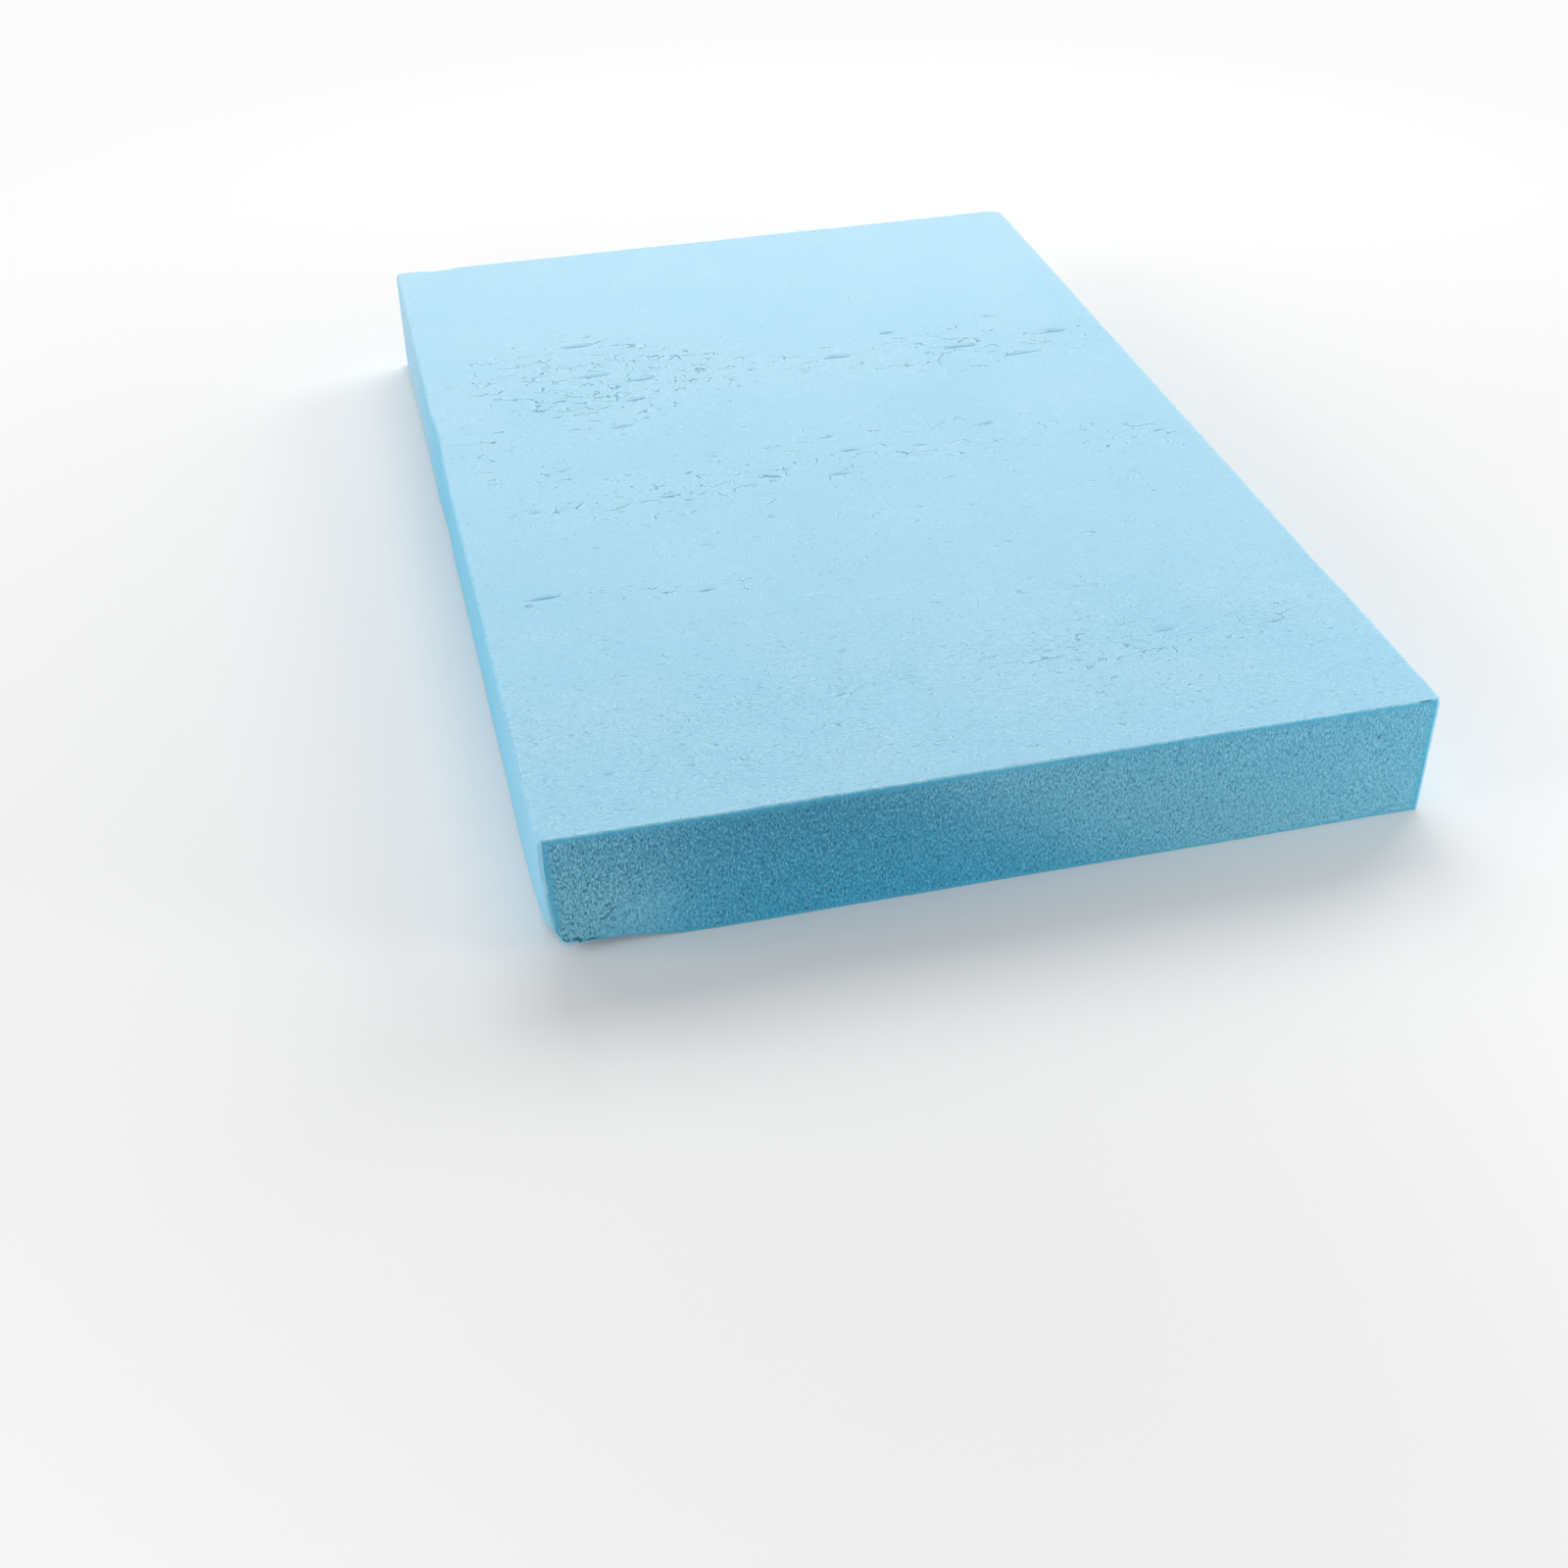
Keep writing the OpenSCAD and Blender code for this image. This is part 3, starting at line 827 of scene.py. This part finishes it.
def sawn_cells():
    """Extruded polystyrene cut by a saw: open cells under half a millimetre wide, drawn out towards
    the skins, rough and matt. Light is caught in them, so the blue is deeper than the skin's, and
    shade is painted in the open cells. Torn walls show as pale strokes, partly painted highlights,
    and the denser rim under the skin is smoother and greener, with a thin pale fringe that is partly
    a painted highlight. Left of the middle the saw ran clean and tore little, and there a deeper blue
    is painted as shade. Elsewhere it is paler towards the underside, and by the crushed corner paler
    still, as painted light from the left and below. Shade is painted along the torn lines. The floor
    of the dent is smoother."""
    material, tree = new_material("sawn_polystyrene_cells")
    place = millimetres(tree)
    parts = add(tree, "SeparateXYZ", [place]).outputs
    at_points = {name: add(tree, "Attribute", attribute_name=name).outputs["Fac"]
                 for name in ("clean_cut_and_shade", "skin_distance", "pressed", "worn", "cell", "tear")}
    clean_shaded, distance = at_points["clean_cut_and_shade"], at_points["skin_distance"]
    # Torn walls 0.4 mm wide and 0.9 mm high, as coarse as they need to be to show
    upright = add(tree, "VectorMath", [place, (0.4, 2.0, 0.9)], operation="DIVIDE")
    walls = add(tree, "TexNoise", {"Vector": upright, "Scale": 1.0, "Detail": 2.0, "Roughness": 0.7})
    cells = add(tree, "TexVoronoi", {"Vector": upright, "Scale": 0.5})
    own = add(tree, "SeparateColor", [cells.outputs["Color"]])
    patches = add(tree, "TexNoise", {"Vector": place, "Scale": 0.045, "Detail": 2.0})

    inside = add(tree, "MapRange", [distance, 0.2, 1.3, 0.3, 1.0])
    smooth_floor = add(tree, "MapRange", [at_points["pressed"], 0.0, 1.0, 1.0, 0.7])
    calm = add(tree, "Math", [inside, smooth_floor], operation="MULTIPLY")
    rightwards = add(tree, "MapRange", [parts["X"], LEFT, RIGHT, 1.0, 0.62])
    rough = add(tree, "Math", [calm, rightwards], operation="MULTIPLY")

    upwards = add(tree, "MapRange", [parts["Z"], UNDER, TOP, 0.6, 0.0])
    not_clean_or_shaded = add(tree, "MapRange", [clean_shaded, 0.0, 0.8, 1.0, 0.1])
    low = add(tree, "Math", [upwards, not_clean_or_shaded], operation="MULTIPLY")
    # painted light by the crushed corner, standing in for light from the left and below
    worn = add(tree, "MapRange", [at_points["worn"], 0.0, 1.0, 0.0, 0.6])

    # painted shade in the open cells, darker where the mesh's cells are cut deeper
    dots = add(tree, "MapRange", [cells, 0.1, 0.4, 1.0, 0.0])
    dots = add(tree, "Math", [dots, own], operation="MULTIPLY")
    thin_walls = add(tree, "MapRange", [walls, 0.5, 0.32, 0.0, 0.9])
    cell_shade = add(tree, "Math", [dots, 0.6, thin_walls], operation="MULTIPLY_ADD")
    sunken = add(tree, "MapRange", [at_points["cell"], 0.3, 0.8, 0.0, 0.3])
    cell_shade = add(tree, "Math", [cell_shade, sunken], operation="ADD", use_clamp=True)
    cell_shade = add(tree, "Math", [cell_shade, rough], operation="MULTIPLY")
    # the torn walls' pale strokes: partly their own paler colour, partly painted highlights where they
    # catch the light
    thick_walls = add(tree, "MapRange", [walls, 0.52, 0.68, 0.0, 0.85])
    less_torn = add(tree, "MapRange", [clean_shaded, 0.0, 1.0, 1.0, 0.6])
    torn = add(tree, "Math", [thick_walls, less_torn], operation="MULTIPLY")
    torn = add(tree, "Math", [torn, rough], operation="MULTIPLY")
    uneven = add(tree, "Math", [walls, 1.4, distance], operation="MULTIPLY_ADD")
    rim = add(tree, "MapRange", [uneven, 1.3, 2.8, 0.8, 0.0])
    # the rim's pale edge, partly a painted highlight along the sawn face's edges
    fringe_and_highlight = add(tree, "MapRange", [uneven, 0.85, 1.3, 0.75, 0.0])
    # painted shade along the torn lines
    tear = add(tree, "MapRange", [at_points["tear"], 0.2, 0.8, 0.0, 0.85])

    cloudy = add(tree, "MapRange", [patches, 0.3, 0.7, 0.0, 1.0])
    plain = add(tree, "Mix", [cloudy, linear("#5FB2D2"), linear("#69BBD9")], data_type="RGBA")
    raised = add(tree, "MapRange", [parts["Z"], UNDER + 4, UNDER + 24, 0.0, 1.0])
    # painted shade: the deeper blue where the cut is clean, changing in hue from the underside up
    shaded_clean_blue = add(tree, "Mix", [raised, linear("#2DA9D2"), linear("#3899BD")], data_type="RGBA")
    body = add(tree, "Mix", [clean_shaded, plain, shaded_clean_blue], data_type="RGBA")
    layers = [
        (low, "#7EC9E0"), (worn, "#7FC9E1"),        # paler below, and painted light by the crushed corner
        (cell_shade, "#246787"), (torn, "#ACE2F1"),        # painted shade in the open cells, and their torn walls' pale strokes, partly painted highlights
        (rim, "#4AB0D2"), (fringe_and_highlight, "#A2DCEC"),      # the denser rim, and its pale edge, partly a painted highlight
        # painted shade in the torn lines
        (tear, "#1F5872"),
    ]
    for share, colour in layers:
        body = add(tree, "Mix", [share, body, linear(colour)], data_type="RGBA")

    hollows = add(tree, "Bump", {"Strength": rough, "Distance": 0.4 * MM, "Height": walls})
    shader = add(tree, "BsdfPrincipled", {
        "Base Color": body, "Normal": hollows, "Roughness": 0.75, "IOR": 1.5,
        "Subsurface Weight": 0.03, "Subsurface Radius": (0.6, 0.9, 1.1), "Subsurface Scale": 0.3 * MM,
    })
    add(tree, "OutputMaterial", {"Surface": shader})
    return material


# ---------------------------------------------------------------- studio, in metres

FLOOR_RADIUS, FLOOR_SIDES = 8.0, 96     # wide enough to reach the horizon of a low view
FLOOR_GAP = 0.00005                     # how far the floor lies under the slab
EVEN_FROM, EVEN_AT = 0.23, 0.5          # how far out the seen floor starts and ends its turn to even white
ROOM_LIGHT, SEEN_WHITE = 0.3, 0.97      # the room as a light, and the white that is seen of it

CAMERA_PLACE, CAMERA_AIM = (-0.1267, -0.4768, 0.2838), (-0.0374, -0.1035, 0)
CAMERA_LEAN = -0.86                     # in degrees
LENS, SENSOR = 47.15, 36                # in millimetres

# Soft square lights: place, what each is turned to, size and watts
SOFTBOXES = {
    "back_light": ((0.15, 0.75, 0.9), (0, 0.05, 0), 0.7, 6.2),
    "back_right_light": ((0.8, 0.6, 0.6), (0, 0, 0), 0.5, 3.9),
    "back_left_light": ((-0.6, 0.8, 0.6), (0, 0, 0), 0.6, 1.6),
    "left_light": ((-0.9, -0.1, 0.4), (-0.1, 0, 0), 0.5, 2.85),
    "near_right_light": ((0.35, -0.35, 0.1), (0.1, -0.15, 0.015), 0.15, 0.72),
    "near_left_light": ((-0.35, -0.5, 0.15), (-0.1, -0.15, 0.015), 0.2, 0.42),
}


def seen_rays(tree):
    """1 for a ray that shows the room to the eye, straight or by way of gloss or glass, and 0 for
    one that brings its light."""
    path = add(tree, "LightPath").outputs
    seen = add(tree, "Math", [path["Is Camera Ray"], path["Is Glossy Ray"]], operation="MAXIMUM")
    return add(tree, "Math", [seen, path["Is Transmission Ray"]], operation="MAXIMUM")


def pale_floor():
    """Smooth white board. What is seen is a little whiter than what lights the slab, and both keep
    the slab's shadow. Beyond the shadow what is seen goes over to an even white."""
    material, tree = new_material("white_board")
    seen = seen_rays(tree)
    colour = add(tree, "Mix", [seen, linear("#D0D2D4"), linear("#F5F5F5")], data_type="RGBA")
    board = add(tree, "BsdfDiffuse", {"Color": colour})
    away = add(tree, "VectorMath", [add(tree, "TexCoord").outputs["Object"]], operation="LENGTH")
    far = add(tree, "MapRange", [away, EVEN_FROM, EVEN_AT, 0.0, 1.0], interpolation_type="SMOOTHSTEP")
    even = add(tree, "Math", [far, seen], operation="MULTIPLY")
    white = add(tree, "Emission", {"Color": (1, 1, 1, 1), "Strength": SEEN_WHITE})
    add(tree, "OutputMaterial", {"Surface": add(tree, "MixShader", [even, board, white])})
    return material


def studio_world():
    """An even pale room for light, and white where it is seen."""
    world = bpy.data.worlds.new("pale_room")
    world.use_nodes = True
    tree = world.node_tree
    tree.nodes.clear()
    strength = add(tree, "MapRange", [seen_rays(tree), 0.0, 1.0, ROOM_LIGHT, SEEN_WHITE])
    room = add(tree, "Background", {"Color": (1, 1, 1, 1), "Strength": strength})
    add(tree, "OutputWorld", {"Surface": room})
    bpy.context.scene.world = world


def softbox(name, place, aim, size, watts):
    """A square soft light at a place, turned to face its aim."""
    data = bpy.data.lights.new(name, "AREA")
    data.shape, data.size, data.energy = "SQUARE", size, watts
    light = bpy.data.objects.new(name, data)
    light.location = place
    light.visible_camera = False
    light.rotation_euler = (Vector(aim) - Vector(place)).to_track_quat("-Z", "Y").to_euler()
    bpy.context.scene.collection.objects.link(light)


def floor():
    """A round floor just under the slab: points evenly round a circle, as one face."""
    turn = np.linspace(0, 2 * np.pi, FLOOR_SIDES, endpoint=False)
    level = np.full(FLOOR_SIDES, LOW[2] * MM - FLOOR_GAP)
    rim = np.stack([FLOOR_RADIUS * np.cos(turn), FLOOR_RADIUS * np.sin(turn), level], 1)
    mesh = bpy.data.meshes.new("floor")
    mesh.from_pydata(rim.tolist(), [], [list(range(FLOOR_SIDES))])
    mesh.materials.append(pale_floor())
    stage = bpy.data.objects.new("floor", mesh)
    bpy.context.scene.collection.objects.link(stage)


def camera():
    """Stands in front and a little to the left, looks down at the slab's near left, and leans by
    less than a degree."""
    data = bpy.data.cameras.new("camera")
    data.sensor_width, data.lens = SENSOR, LENS
    look = (Vector(CAMERA_AIM) - Vector(CAMERA_PLACE)).to_track_quat("-Z", "Y").to_matrix()
    turned = look @ Matrix.Rotation(math.radians(CAMERA_LEAN), 3, "Z")
    seen_from = bpy.data.objects.new("camera", data)
    seen_from.matrix_world = Matrix.LocRotScale(Vector(CAMERA_PLACE), turned.to_quaternion(), None)
    bpy.context.scene.collection.objects.link(seen_from)
    bpy.context.scene.camera = seen_from


# ---------------------------------------------------------------- the scene

slab = bpy.data.objects.new("foam_slab", foam_mesh())
slab.data.materials.append(extruded_skin())
slab.data.materials.append(sawn_cells())
bpy.context.scene.collection.objects.link(slab)
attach(slab, "root")
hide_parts("foam_block")

floor()
camera()
studio_world()
for light_name, light_settings in SOFTBOXES.items():
    softbox(light_name, *light_settings)
bpy.context.scene.view_settings.view_transform = "Standard"
